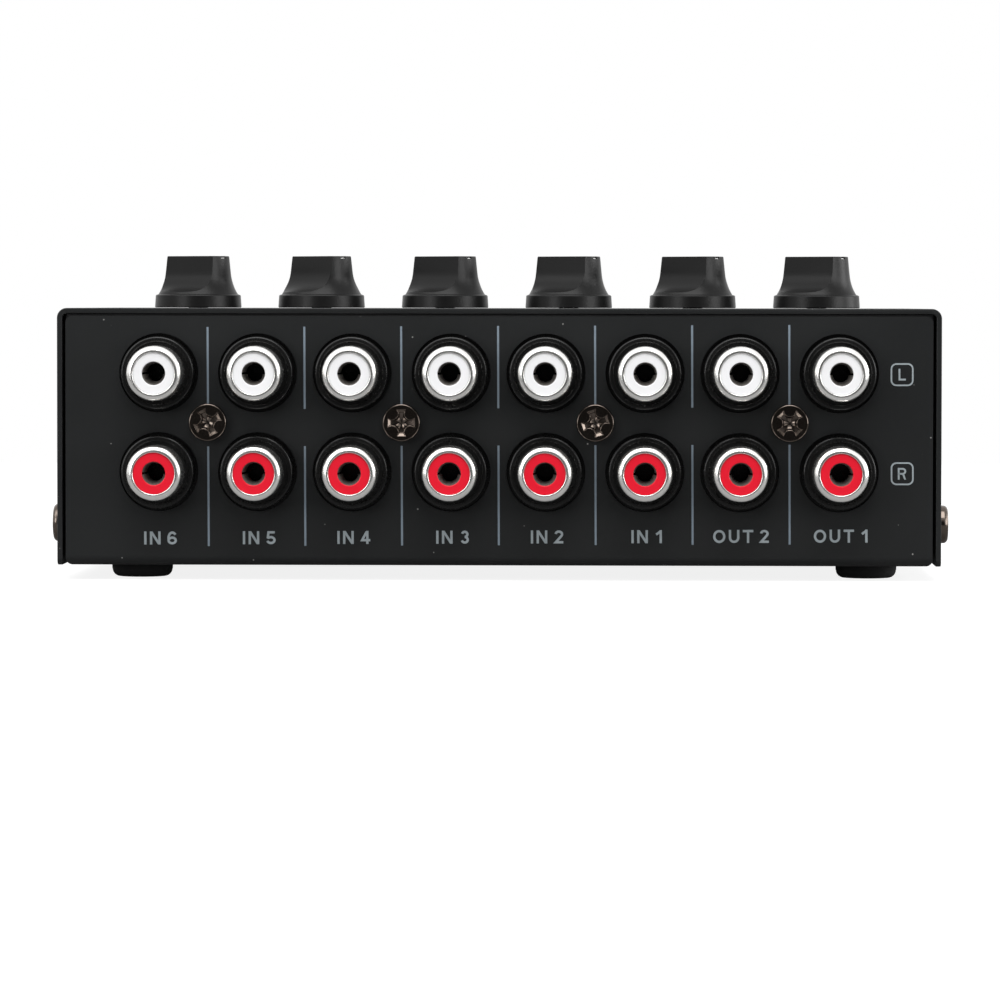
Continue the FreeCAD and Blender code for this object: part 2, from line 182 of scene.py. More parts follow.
# %% [markdown]
# A finish is such a graph around the principled shader. Its patterns are laid out in the
# piece's own coordinates, so they stay on the piece when it turns. The few patterns that
# the finishes share, noise, a ramp of two colours, a blend and bumps, are methods here.

# %% A finish: one principled shader with patterns behind it
class Finish(Graph):
    """A material that is patterned in the piece's own coordinates."""

    def __init__(self, name, roughness=0.5, metallic=0.0):
        self.material = bpy.data.materials.new(name)
        super().__init__(self.material, "OutputMaterial", "BsdfPrincipled")
        self.set("Roughness", roughness)
        self.set("Metallic", metallic)
        self.place = self.node("TexCoord", output="Object")

    def noise(self, scale, detail=2.0, stretch=(1, 1, 1)):
        """Soft blotches, scale of them to a metre, stretched along the axes."""
        place = self.node("Mapping", {}, {"Vector": self.place, "Scale": stretch})
        sizes = {"Vector": place, "Scale": scale, "Detail": detail}
        return self.node("TexNoise", {}, sizes, "Fac")

    def ramp(self, amount, *stops):
        """Colours along amount, each stop a position and a colour."""
        return self.node("ValToRGB", {"stops": stops}, {0: amount})

    def colour(self, amount, first, last):
        """A colour that goes from first to last as amount goes from 0 to 1."""
        return self.ramp(amount, (0.0, first), (1.0, last))

    def blend(self, mask, first, second):
        """first where mask is 0 and second where it is 1; each a colour or a wire."""
        sockets = {"Factor": mask, 6: first, 7: second}
        return self.node("Mix", {"data_type": "RGBA"}, sockets, 2)

    def relief(self, height, depth):
        """Bumps of a height pattern, depth millimetres from its lowest to its highest."""
        settings = {"Height": height, "Strength": 1.0, "Distance": depth * MM}
        self.set("Normal", self.node("Bump", {}, settings))


# %% [markdown]
# The case paint. Such cases are sprayed a satin black. Under a soft lamp the paint isn't
# black but a dark cool grey, with a very fine orange peel that breaks up the reflection,
# and its gloss wanders a little over the sheet. Two noises do this: a fine one for the
# bumps, a broad one for the gloss and the shade. Dark paint also shows every speck of
# dust. The specks are the centres of Voronoi cells, and a third noise keeps only a few. A
# picture of paint would do for one view, but noise has no seams and is fine from near too.

# %% Case paint
WHITE = (1, 1, 1)
BLACK = (0, 0, 0)
DUST = (0.28, 0.28, 0.27, 1)


def case_paint():
    paint = Finish("satin_black_paint")
    paint.set("Specular IOR Level", 0.25)
    cloud = paint.noise(35.0, 3.0)
    peel = paint.noise(2600.0, 1.5)
    cells = {"Vector": paint.place, "Scale": 330.0}
    spot = paint.node("TexVoronoi", {}, cells, "Distance")
    chance = paint.noise(700.0, 0.0)
    dust = paint.ramp(spot, (0.028, WHITE), (0.050, BLACK))
    rare = paint.ramp(chance, (0.52, BLACK), (0.60, WHITE))
    shade = paint.colour(cloud, (0.0095, 0.0103, 0.0107), (0.0140, 0.0148, 0.0152))
    paint.set("Base Color", paint.blend(dust * rare, shade, DUST))
    paint.set("Roughness", 0.34 + cloud * 0.12 + dust * 0.1)
    paint.relief(peel, 0.006)
    return paint.material


# %% [markdown]
# Moulded plastics. The black collars, the knobs and the coloured inserts are all moulded,
# but not alike: the collars are smooth from a polished tool, the knobs come from a
# spark-eroded one with a fine grain, and the inserts are glossy. One function takes the
# colours, the gloss and the grain, and each piece gets its own.

# %% Moulded plastic
def moulded(name, dark, light, roughness, grain_scale, grain_depth, shine=0.5):
    plastic = Finish(name)
    plastic.set("Specular IOR Level", shine)
    cloud = plastic.noise(140.0, 3.0)
    grain = plastic.noise(grain_scale, 2.0)
    plastic.set("Base Color", plastic.colour(cloud, dark, light))
    plastic.set("Roughness", roughness + cloud * 0.08 + grain * 0.06)
    plastic.relief(grain, grain_depth)
    return plastic.material


# %% [markdown]
# Metals. The barrels are drawn from brass and plated with bright nickel. Drawing and
# polishing leave hair lines that run round the barrel, so the noise is stretched: it
# changes fast along the barrel's axis, which is Y here, and slowly across it. The shafts
# are turned about Z, and the other metals have no direction.

# %% Plated and turned metal
ROUND_Y = (1, 14, 1)
ROUND_Z = (1, 1, 14)


def metal(name, dark, light, roughness, stretch=(1, 1, 1), metallic=1.0):
    plate = Finish(name, metallic=metallic)
    cloud = plate.noise(220.0, 3.0)
    lines = plate.noise(600.0, 2.0, stretch)
    plate.set("Base Color", plate.colour(cloud, dark, light))
    plate.set("Roughness", roughness + lines * 0.10)
    plate.relief(lines, 0.002)
    return plate.material


# %% [markdown]
# Rubber, circuit boards and print. Rubber is dull with a dusty bloom. A board has a green
# resist with the faint weave of its glass cloth. The print on the panel is a thin layer
# of grey ink that covers unevenly. None is like a plastic or a metal, so each has its own
# few lines.

# %% Rubber, board and ink
def rubber():
    feet = Finish("foot_rubber")
    bloom = feet.noise(300.0, 5.0)
    pores = feet.noise(4000.0, 2.0)
    feet.set("Base Color", feet.colour(bloom, (0.010, 0.010, 0.011), (0.026, 0.026, 0.027)))
    feet.set("Roughness", 0.72 + bloom * 0.2)
    feet.relief(pores, 0.02)
    return feet.material


def circuit_board():
    board = Finish("green_resist")
    threads = {"Vector": board.place, "Scale": 900.0}
    weave = board.node("TexWave", {"wave_profile": "SIN"}, threads)
    cloud = board.noise(90.0, 3.0)
    green = board.colour(cloud, (0.008, 0.075, 0.035), (0.014, 0.12, 0.055))
    board.set("Base Color", green)
    board.set("Roughness", 0.30 + weave * 0.08)
    board.relief(weave, 0.004)
    return board.material


def ink(name, dark, light):
    print_layer = Finish(name)
    cover = print_layer.noise(1500.0, 4.0)
    print_layer.set("Base Color", print_layer.colour(cover, dark, light))
    print_layer.set("Roughness", 0.5 + cover * 0.15)
    print_layer.relief(cover, 0.003)
    return print_layer.material


# %% [markdown]
# The table of finishes. Each line gives a finish its darkest and its lightest colour, its
# roughness, and for a plastic the grain: how many grains to a metre, how deep in
# millimetres, and how strong its shine is. The keys are the material slots of the record,
# so that a piece finds its finish by the slot it takes.

# %% All the finishes
FINISH = {
    "case_paint": case_paint(),
    "socket_moulding": moulded(
        "collar_moulding", (0.003, 0.003, 0.003), (0.005, 0.005, 0.005),
        0.20, 1500.0, 0.003, 0.3,
    ),
    "knob_plastic": moulded(
        "knob_moulding", (0.005, 0.005, 0.005), (0.008, 0.008, 0.008),
        0.28, 2600.0, 0.016, 0.17,
    ),
    "white_insert": moulded(
        "white_moulding", (0.80, 0.80, 0.81), (0.85, 0.85, 0.86), 0.25, 1200.0, 0.002
    ),
    "red_insert": moulded(
        "red_moulding", (0.68, 0.006, 0.022), (0.75, 0.009, 0.028),
        0.25, 1200.0, 0.002, 0.3,
    ),
    "nylon": moulded("nylon", (0.62, 0.60, 0.53), (0.70, 0.68, 0.62), 0.40, 900.0, 0.004),
    "link_plastic": moulded(
        "link", (0.22, 0.22, 0.23), (0.28, 0.28, 0.29), 0.45, 900.0, 0.004
    ),
    "chip_ceramic": moulded(
        "chip", (0.02, 0.02, 0.02), (0.03, 0.03, 0.03), 0.5, 2000.0, 0.004
    ),
    "socket_plating": metal(
        "bright_nickel", (0.84, 0.83, 0.81), (0.90, 0.89, 0.87), 0.20, ROUND_Y
    ),
    "tinned_brass": metal("tinned_brass", (0.58, 0.57, 0.54), (0.70, 0.69, 0.66), 0.28),
    "black_screw": metal("black_nickel", (0.105, 0.085, 0.073), (0.150, 0.125, 0.107), 0.12),
    "pot_housing": metal("pot_housing", (0.50, 0.50, 0.50), (0.58, 0.58, 0.58), 0.32),
    "shaft_metal": metal(
        "turned_shaft", (0.55, 0.55, 0.56), (0.65, 0.65, 0.66), 0.22, ROUND_Z
    ),
    "foot_rubber": rubber(),
    "circuit_board": circuit_board(),
    # The pointer lines are white paint, but they are given a light grey: painted shade for
    # the narrow slots they lie in.
    "pointer_white": ink("pointer_white", (0.58, 0.58, 0.57), (0.68, 0.68, 0.67)),
}
print(len(FINISH), "finishes")

# %% [markdown]
# Every solid of the frame carries the name of its material slot in the record. The loop
# below gives each one its finish. Those that finer pieces stand for later are hidden then,
# and the others, such as the boards inside and the white pointer lines, stay as they are.

# %% Finish the solids of the frame
for entry in frame["record"]["subparts"]:
    solid = frame["nodes"][entry["node"]]
    solid.data.materials.clear()
    solid.data.materials.append(FINISH[entry["material_slot"]])
print(len(frame["nodes"]), "solids finished")

# %% [markdown]
# Round edges. No moulded or stamped edge is sharp: each has a small radius that catches
# the light as a fine line. A Bevel modifier could round them, but on a bmesh the operator
# can be given just the edges that are sharp, and its result is there to be worked on.

# %% Round the sharp edges
def sharp_edges(bm, angle):
    """The edges where two faces meet at more than angle degrees."""
    limit = math.radians(angle)
    return [e for e in bm.edges if len(e.link_faces) == 2 and e.calc_face_angle(0) > limit]


def soften(bm, width, segments=2, angle=35, edges=None):
    """Rounds the edges sharper than an angle, or only those that are given."""
    bmesh.ops.bevel(
        bm,
        geom=edges or sharp_edges(bm, angle),
        offset=width,
        offset_type="OFFSET",
        segments=segments,
        profile=0.5,
        affect="EDGES",
        clamp_overlap=True,
        material=-1,
    )


# %% [markdown]
# Repeats. Sixteen sockets are one socket sixteen times. Linked objects would do, but each
# piece here is a single mesh, so a shape is made once about a convenient origin and then
# copied into the mesh at each of its places.

# %% Copies in their places
def add(whole, part, places=(Matrix(),)):
    """Puts a copy of part into whole at each place, a vector or a matrix."""
    mesh = bpy.data.meshes.new("part")
    part.to_mesh(mesh)
    part.free()
    for place in places:
        moved = mesh.copy()
        moved.transform(Matrix.Translation(place) if isinstance(place, Vector) else place)
        whole.from_mesh(moved)
        bpy.data.meshes.remove(moved)
    bpy.data.meshes.remove(mesh)


def copies(part, places):
    """One bmesh that holds a copy of part at each place."""
    whole = bmesh.new()
    add(whole, part, places)
    return whole


# %% [markdown]
# From a bmesh to a piece. The mesh is scaled to metres, becomes an object at the origin and
# rides on its body. Its shading is smooth, but it has to break at creases, or a flat face
# would look bent. A crease is a real corner, and also the border where a wide face meets
# the narrow strip of a rounded edge.

# %% An object for each piece
CORNER = 32
SLIGHT_BEND = 4
WIDE_TO_NARROW = 12


def is_crease(edge):
    """Whether shading breaks at an edge; the limits are two angles and a ratio of areas."""
    if len(edge.link_faces) != 2:
        return True
    angle = math.degrees(edge.calc_face_angle(0))
    small, large = sorted(face.calc_area() for face in edge.link_faces)
    return angle > CORNER or (angle > SLIGHT_BEND and large > WIDE_TO_NARROW * small)


def as_object(name, bm):
    """An object in the scene that takes over a bmesh."""
    mesh = bpy.data.meshes.new(name)
    bm.to_mesh(mesh)
    bm.free()
    made = bpy.data.objects.new(name, mesh)
    bpy.context.scene.collection.objects.link(made)
    return made


def finish_piece(name, bm, slot, body="case", stands_for=(), finish=None):
    """A piece from a bmesh in millimetres, in its slot's finish or in one of its own."""
    bmesh.ops.recalc_face_normals(bm, faces=bm.faces)
    for face in bm.faces:
        face.smooth = True
    for edge in bm.edges:
        edge.smooth = not is_crease(edge)
    bmesh.ops.transform(bm, matrix=Matrix.Scale(MM, 4), verts=bm.verts)
    made = as_object(name, bm)
    made.data.materials.append(finish or FINISH[slot])
    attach(made, body)
    if stands_for:
        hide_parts(*stands_for)
    print(name, len(made.data.polygons), "faces")


# %% [markdown]
# Turning on the lathe. The barrels, collars, inserts, screw heads, feet and knobs are all
# bodies of revolution. A profile is drawn as a few points, each a radius and a distance
# along the axis, and `bmesh.ops.spin` turns it. A profile that starts and ends on the axis,
# or closes on itself, gives a closed skin. A Screw modifier would turn it as well, but the
# operator merges the start and the end of a full turn at once.

# %% The lathe
ON_THE_AXIS = 1e-5


def turned(profile, steps=96, angle=360.0, closed=False):
    """A body of revolution about Z. profile is a list of (radius, height)."""
    bm = bmesh.new()
    points = [bm.verts.new((radius, 0, height)) for radius, height in profile]
    pairs = list(zip(points, points[1:]))
    if closed:
        pairs.append((points[-1], points[0]))
    lines = [bm.edges.new(pair) for pair in pairs]
    bmesh.ops.spin(
        bm,
        geom=points + lines,
        cent=(0, 0, 0),
        axis=(0, 0, 1),
        angle=math.radians(angle),
        steps=steps,
        use_merge=angle >= 360,
    )
    bmesh.ops.remove_doubles(bm, verts=bm.verts, dist=ON_THE_AXIS)
    return bm


def bend(centre, radius, start, stop, steps=6):
    """Points of an arc in a profile, from one angle to another, in degrees."""
    x, z = centre
    angles = [math.radians(start + (stop - start) * i / steps) for i in range(steps + 1)]
    return [(x + radius * math.cos(a), z + radius * math.sin(a)) for a in angles]


# %% [markdown]
# Cutting. Two shapes need a real cut: the cross recess of the screws and the scoops of the
# knobs. They could be built face by face, but no one would see from such a list what it
# makes. A Boolean modifier with the exact solver does it, and its result is read back into
# a bmesh at once, so that nothing is left live on the piece.

# %% Cut one shape from another
SAME_POINT = 1e-4


def applied(carrier):
    """The mesh of an object with its modifiers worked in, as a bmesh. The object goes."""
    bpy.context.view_layer.update()
    graph = bpy.context.evaluated_depsgraph_get()
    result = bpy.data.meshes.new_from_object(carrier.evaluated_get(graph))
    bm = bmesh.new()
    bm.from_mesh(result)
    bpy.data.meshes.remove(result)
    discard(carrier)
    return bm


def discard(made):
    mesh = made.data
    bpy.data.objects.remove(made)
    bpy.data.meshes.remove(mesh)


def cut(bm, tool):
    """What is left of bm after the tool has been taken from it."""
    for shape in (bm, tool):
        bmesh.ops.recalc_face_normals(shape, faces=shape.faces)
    work, cutter = as_object("work", bm), as_object("cutter", tool)
    modifier = work.modifiers.new("cut", "BOOLEAN")
    modifier.operation = "DIFFERENCE"
    modifier.solver = "EXACT"
    modifier.object = cutter
    left = applied(work)
    discard(cutter)
    bmesh.ops.remove_doubles(left, verts=left.verts, dist=SAME_POINT)
    return left


# %% [markdown]
# The folded sheets. Chassis and cover keep the solids' shape exactly, holes and all, so
# drawing them again would gain nothing. Only their stamped edges need a radius. Each sheet
# is a copy of its solid, its loose triangles merged, its flat faces joined again, and its
# edges rounded over by about a tenth of a millimetre.

# %% Chassis and cover
FLAT = 0.5
FOLDED_EDGE = 40


def sheet_copy(node, edge_radius):
    """A solid's own mesh in flat faces, its edges rounded; both limits are in degrees."""
    bm = bmesh.new()
    bm.from_mesh(frame["nodes"][node].data)
    bmesh.ops.transform(bm, matrix=Matrix.Scale(1 / MM, 4), verts=bm.verts)
    bmesh.ops.remove_doubles(bm, verts=bm.verts, dist=SAME_POINT)
    limit = math.radians(FLAT)
    bmesh.ops.dissolve_limit(
        bm, angle_limit=limit, verts=bm.verts, edges=bm.edges, delimit={"SHARP"}
    )
    soften(bm, edge_radius, 2, FOLDED_EDGE)
    return bm


chassis = sheet_copy("chassis", 0.09)
cover = sheet_copy("top_cover", 0.12)
finish_piece("folded_chassis", chassis, "case_paint", stands_for=["chassis"])
finish_piece("folded_cover", cover, "case_paint", stands_for=["top_cover"])

# %% [markdown]
# The cover doesn't touch the panels. A strip of black foam lies in each seam, behind the
# panel's top edge, and keeps the sheets from rattling. It also shuts the light out of the
# box: without it, one would look in at the front seam and out at the rear one. Each strip
# is a cube that is drawn out and rounded, since foam is cut straight and has no crisp edge.

# %% Foam in the seams
SHEET = 0.8
FOAM_HEIGHT = 1.6
FOAM_DEPTH = 2.0
FOAM_END_GAP = 1.2
FOAM_BACKSET = 1.05


def brick(size, middle=(0, 0, 0)):
    """A box of a size about a middle."""
    bm = bmesh.new()
    bmesh.ops.create_cube(bm, size=1.0)
    bmesh.ops.scale(bm, vec=size, verts=bm.verts)
    bmesh.ops.translate(bm, vec=middle, verts=bm.verts)
    return bm


def foam_strip(wall_y, inwards):
    """A strip along X under the cover, just inside of a panel whose outer face is given."""
    low, high = cover_high.z - SHEET - FOAM_HEIGHT, cover_high.z - SHEET
    size = (2 * cover_high.x - 2 * FOAM_END_GAP, FOAM_DEPTH, high - low)
    bm = brick(size, (0, wall_y + inwards * (SHEET + FOAM_BACKSET), (low + high) / 2))
    soften(bm, 0.25, 3)
    return bm


strips = foam_strip(panel_y, 1)
add(strips, foam_strip(rear_y, -1))
finish_piece("seam_foam", strips, "foot_rubber")

# %% [markdown]
# The socket blocks. Behind the panel each block is a plain moulded box. Its four collars
# come out through the panel's holes. A collar has a rounded rim and, inside that, a lower
# step in which the barrel stands. It is round all over, so it comes off the lathe, and the
# lathe's axis is then turned out of the panel.

# %% Collars
TOWARDS_VIEWER = Matrix.Rotation(math.radians(90), 4, "X")
COLLAR_RADIUS = 5.5
COLLAR_ROUND = 0.27
COLLAR_BACK = -1.2
STEP_RADIUS = 4.74
STEP_CHAMFER = 0.12
STEP_DROP = 0.55
COLLAR_BORE = 3.6


def socket_places(z_rows):
    """Turns a lathe piece's axis out of the panel, at each socket of the rows."""
    spots = [Vector((x, panel_y, z)) for z in z_rows for x in column_x]
    return [Matrix.Translation(spot) @ TOWARDS_VIEWER for spot in spots]


def collar():
    reach = panel_y - collar_y
    wall = [(COLLAR_BORE, COLLAR_BACK), (COLLAR_RADIUS, COLLAR_BACK)]
    wall.append((COLLAR_RADIUS, reach - 0.3))
    round_centre = (COLLAR_RADIUS - COLLAR_ROUND, reach - COLLAR_ROUND)
    rim = bend(round_centre, COLLAR_ROUND, 0, 90, 4)
    step = [
        (STEP_RADIUS + STEP_CHAMFER, reach),
        (STEP_RADIUS, reach - STEP_CHAMFER),
        (STEP_RADIUS, reach - STEP_DROP),
        (COLLAR_BORE, reach - STEP_DROP),
    ]
    return turned(wall + rim + step, closed=True)


all_sockets = socket_places([red_z, white_z])
print(len(all_sockets), "sockets")

# %% [markdown]
# The boxes behind the panel only show through the socket holes and from inside, so a
# rounded cube is enough for each. Boxes and collars make one piece, as in the real block.

# %% Blocks with their collars
BLOCK_WIDTH = 29.0
block_low, block_high = corners("jack_blocks")


def blocks():
    bm = copies(collar(), all_sockets)
    depth = block_high.y - panel_y - SHEET
    box = brick((BLOCK_WIDTH, depth, block_high.z - block_low.z))
    soften(box, 0.3)
    add(bm, box, [Vector((x, panel_y + SHEET + depth / 2, screw_z)) for x in block_x])
    return bm


finish_piece("socket_blocks", blocks(), "socket_moulding", stands_for=["jack_blocks"])

# %% [markdown]
# The barrels. Each is a drawn tube whose front edge is rolled inwards: seen from the front
# it shows a bright rounded ring, wider than the wall is thick. It is the brightest thing
# on the object, and its curve decides where the lamps' reflections lie. A bevelled tube
# would give it too narrow a curve, so the roll is drawn in the profile, with a wide arc
# outside and a tight one where it meets the insert.

# %% Barrels
BARREL_RADIUS = 4.15
BARREL_BORE = 3.14
BARREL_BACK = 2.0
ROLL = 0.86
LIP = 0.11


def barrel():
    reach = panel_y - tip_y
    outer = [(BARREL_RADIUS, BARREL_BACK), (BARREL_RADIUS, reach - ROLL)]
    roll = bend((BARREL_RADIUS - ROLL, reach - ROLL), ROLL, 0, 90, 14)
    lip = bend((BARREL_BORE + LIP, reach - LIP), LIP, 100, 180, 4)
    return turned(outer + roll + lip + [(BARREL_BORE, BARREL_BACK)], 128, closed=True)


barrels = copies(barrel(), all_sockets)
finish_piece("socket_barrels", barrels, "socket_plating", stands_for=["jack_sleeves"])

# %% [markdown]
# The inserts. White stands for left and red for right on every such socket. The nose is
# flat in front, with a small radius at its edge and at the mouth of the bore, and only a
# hair's width between it and the barrel. Further in, the bore opens into a chamber for the
# contact. All of this is one profile on the lathe, and the two colours share it.

# %% White and red inserts
NOSE_RADIUS = 3.11
NOSE_ROUND = 0.09
NOSE_RECESS = 0.2
BORE_RADIUS = 1.76
MOUTH_ROUND = 0.12
CHAMBER_RADIUS = 2.6
CHAMBER_FRONT = 8.45
NOSE_BACK = 2.4


def insert():
    reach = panel_y - tip_y - NOSE_RECESS
    edge = bend((NOSE_RADIUS - NOSE_ROUND, reach - NOSE_ROUND), NOSE_ROUND, 0, 90, 4)
    mouth = bend((BORE_RADIUS + MOUTH_ROUND, reach - MOUTH_ROUND), MOUTH_ROUND, 90, 180, 4)
    hollow = [
        (BORE_RADIUS, CHAMBER_FRONT + 0.1),
        (CHAMBER_RADIUS, CHAMBER_FRONT),
        (CHAMBER_RADIUS, NOSE_BACK),
    ]
    return turned([(NOSE_RADIUS, NOSE_BACK)] + edge + mouth + hollow, 96, closed=True)


white = copies(insert(), socket_places([white_z]))
red = copies(insert(), socket_places([red_z]))
finish_piece("left_inserts", white, "white_insert", stands_for=["white_inserts"])
finish_piece("right_inserts", red, "red_insert", stands_for=["red_inserts"])

# %% [markdown]
# The spring contacts. Inside each bore sits a slit tube that grips the pin of the plug.
# From the front it is two half rings, one above the other, with a slit between them at the
# left and the right. The lower half is bent further in, so more of it shows. A profile that
# is spun through a little less than half a turn gives one half.

# %% Contacts in the bores
CONTACT_RADIUS = 1.85
CONTACT_MOUTH = 1.71
CONTACT_BACK = 3.2
HALF_TURN = 169
UPPER_HALF = (1.48, 5.5)
LOWER_HALF = (1.22, 185.5)


def contact_half(neck, start):
    """Half a tube from an angle in degrees on, which narrows to a neck inside."""
    front = [(CONTACT_RADIUS, CHAMBER_FRONT), (CONTACT_MOUTH, CHAMBER_FRONT)]
    narrows = [(neck + 0.05, 6.3), (neck, 5.8)]
    back = [(neck, CONTACT_BACK), (CONTACT_RADIUS, CONTACT_BACK)]
    half = turned(back + front + narrows, 32, HALF_TURN, True)
    bmesh.ops.holes_fill(half, edges=half.edges, sides=0)
    spin = Matrix.Rotation(math.radians(start), 4, "Z")
    bmesh.ops.transform(half, matrix=spin, verts=half.verts)
    return half


contacts = bmesh.new()
for neck, start in (UPPER_HALF, LOWER_HALF):
    add(contacts, contact_half(neck, start), all_sockets)
dull_tin = metal("dull_tin", (0.20, 0.185, 0.17), (0.26, 0.24, 0.22), 0.35, metallic=0.4)
finish_piece("spring_contacts", contacts, "tinned_brass", finish=dull_tin)

# %% [markdown]
# The screws. The head is flat with a rounded rim. Its cross recess is cut by a tool like
# the driver's: a cross outline that is extruded downwards in steps. First it goes straight
# in, then it draws in quickly, goes on nearly straight to the depth, and ends in a blunt
# tip. Each step extrudes the lowest face and takes the face between away, since a wall
# left inside the tool would stay in the recess.

# %% The tool that cuts the recess
RECESS_DEPTH = 1.15
ABOVE_HEAD = 0.5
WING_REACH = 2.0
WING_HALF = 0.62
LAND_CENTRE = (1.47, 1.47)
LAND_ROUND = 1.10
CROSS_STEPS = ((0.62, 1.0), (0.22, 0.82), (RECESS_DEPTH - 0.34, 0.92), (0.22, 0.35))


def cross_outline():
    """Four wings about the origin, with round lands in the corners between them."""
    land = bend(LAND_CENTRE, LAND_ROUND, 270, 180, 8)
    wing = [(WING_REACH, -WING_HALF), (WING_REACH, WING_HALF)] + land
    turns = [Matrix.Rotation(math.radians(90 * quarter), 3, "Z") for quarter in range(4)]
    return [turn @ Vector((x, y, ABOVE_HEAD)) for turn in turns for x, y in wing]


def cross_tool():
    """The outline extruded downwards; each step has a drop and how much it narrows."""
    bm = bmesh.new()
    top = bm.faces.new([bm.verts.new(point) for point in cross_outline()])
    level = top
    for drop, narrowing in CROSS_STEPS:
        grown = bmesh.ops.extrude_face_region(bm, geom=[level])["geom"]
        if level is not top:
            bm.faces.remove(level)
        level = next(item for item in grown if isinstance(item, bmesh.types.BMFace))
        verts = [item for item in grown if isinstance(item, bmesh.types.BMVert)]
        bmesh.ops.translate(bm, verts=verts, vec=(0, 0, -drop))
        bmesh.ops.scale(bm, verts=verts, vec=(narrowing, narrowing, 1))
    return bm


# %% [markdown]
# The head itself comes off the lathe, with its flat top filled as one face. After the cut
# only the edges of the recess's mouth are rounded. They catch the light as thin lines, and
# the deeper edges stay sharp in the dark. The four screws stand as they were driven, each
# at an angle of its own.

# %% Screws in the middle of the blocks
SOCKET_HEAD = 2.83
SOCKET_HEAD_RISE = 1.6
HEAD_RIM = 0.2
MOUTH_EDGE = 0.09
SCREW_TURNS = (27, 0, 17, 45)


def screw_head(radius, height, rim):
    """A flat head with a rounded rim and the cross recess, standing on z = 0."""
    shoulder = bend((radius - rim, height - rim), rim, 0, 90, 6)
    head = turned([(0, 0), (radius, 0)] + shoulder, 72)
    bmesh.ops.holes_fill(head, edges=head.edges, sides=0)
    tool = cross_tool()
    bmesh.ops.translate(tool, verts=tool.verts, vec=(0, 0, height))
    head = cut(head, tool)
    top = height - 0.05
    mouth = [e for e in sharp_edges(head, 30) if min(v.co.z for v in e.verts) > top]
    soften(head, MOUTH_EDGE, 3, edges=mouth)
    return head


places = []
for x, turn in zip(block_x, SCREW_TURNS):
    spin = Matrix.Rotation(math.radians(turn), 4, "Z")
    spot = Matrix.Translation(Vector((x, panel_y, screw_z)))
    places.append(spot @ TOWARDS_VIEWER @ spin)
socket_head = screw_head(SOCKET_HEAD, SOCKET_HEAD_RISE, HEAD_RIM)
finish_piece("socket_screws", copies(socket_head, places), "black_screw")

# %% [markdown]
# A rounder head of the same kind fastens the cover, two at each side. Their places come
# from the solids that they stand for: near the lower edge, one towards each end.

# %% Screws at the sides
SIDE_HEAD = 2.9
SIDE_RIM = 0.7
screw_low, screw_high = corners("cover_screws")
side_z = (screw_low.z + screw_high.z) / 2
side_y = [screw_low.y + SIDE_HEAD, screw_high.y - SIDE_HEAD]
places = []
for side, wall in ((-1, cover_low.x), (1, cover_high.x)):
    outwards = Matrix.Rotation(math.radians(90 * side), 4, "Y")
    for y, turn in zip(side_y, (20, 55)):
        spin = Matrix.Rotation(math.radians(turn), 4, "Z")
        places.append(Matrix.Translation(Vector((wall, y, side_z))) @ outwards @ spin)
side_head = screw_head(SIDE_HEAD, screw_high.x - cover_high.x, SIDE_RIM)
heads = copies(side_head, places)
finish_piece("side_screws", heads, "black_screw", stands_for=["cover_screws"])

# %% [markdown]
# The feet are pressed rubber discs with a short upright wall and a round lower edge. A
# cylinder with a bevel would have the same radius above and below, so the lathe draws the
# lower edge as a quarter turn and leaves the upper one nearly sharp.

# %% Rubber feet
FOOT_RADIUS = 4.75
FOOT_ROUND = 1.15
TAPE = 0.22
foot_low, foot_high = corners("rubber_feet")
foot_places = [
    Vector((x, y, 0))
    for x in (foot_low.x + FOOT_RADIUS, foot_high.x - FOOT_RADIUS)
    for y in (foot_low.y + FOOT_RADIUS, foot_high.y - FOOT_RADIUS)
]
foot_top = foot_height - TAPE
upper = [(0, foot_top), (4.62, foot_top), (4.70, foot_top - 0.08), (4.66, FOOT_ROUND)]
lower = bend((3.46, FOOT_ROUND), FOOT_ROUND, 0, -90, 10)
feet = copies(turned(upper + lower + [(0, 0.0)], 72), foot_places)
finish_piece("round_feet", feet, "foot_rubber", stands_for=["rubber_feet"])

# %% [markdown]
# Each foot is held by a disc of pale sticky foam, of which only the edge shows, as a light
# line. It is a plain disc on the lathe with a finish of its own.

# %% The sticky foam on the feet
TAPE_RADIUS = 4.5
disc = [(TAPE_RADIUS, foot_height), (TAPE_RADIUS, foot_top)]
tape = turned([(0, foot_height)] + disc + [(0, foot_top)], 72)
foam = moulded("white_foam", (0.62, 0.61, 0.58), (0.72, 0.71, 0.69), 0.6, 5000.0, 0.02)
finish_piece("foot_tapes", copies(tape, foot_places), "foot_rubber", finish=foam)

# %% [markdown]
# The knobs. A real one is moulded in one piece: a skirt, a waist that flares down to it in
# one sweep, and two scoops that leave a bar to hold. It could be sculpted from a cylinder,
# but turning and cutting come closer to how its mould was made. A blank is turned first,
# its sweep an arc that ends where the upper taper begins.

# %% The knob's blank
KNOB_HEIGHT = 8.2
CROWN_ROUND = 0.16
SWEEP_CENTRE = (11.97, 5.65)
SWEEP_RADIUS = 6.61
SKIRT = [(0, -0.1), (6.88, -0.1), (7.0, 0.02), (6.88, 1.80), (6.80, 1.92), (6.42, 2.05)]


def knob_blank():
    sweep = bend(SWEEP_CENTRE, SWEEP_RADIUS, 212.9, 183.9, 14)
    crown = bend((4.97, KNOB_HEIGHT - CROWN_ROUND), CROWN_ROUND, 8, 90, 4)
    return turned(SKIRT + sweep + crown + [(0, KNOB_HEIGHT)], 128)


print("the skirt is", 2 * max(radius for radius, height in SKIRT), "across")

# %% [markdown]
# Four cuts follow. The scoops go along both sides of the bar, each with a round foot, and
# reach past the skirt and the crown so that nothing is left standing. The underside is
# hollow where the knob goes over the bush of its shaft, and a shallow slot along the bar
# takes the white line, which stays the solid's own. A fine bevel breaks the edges last.

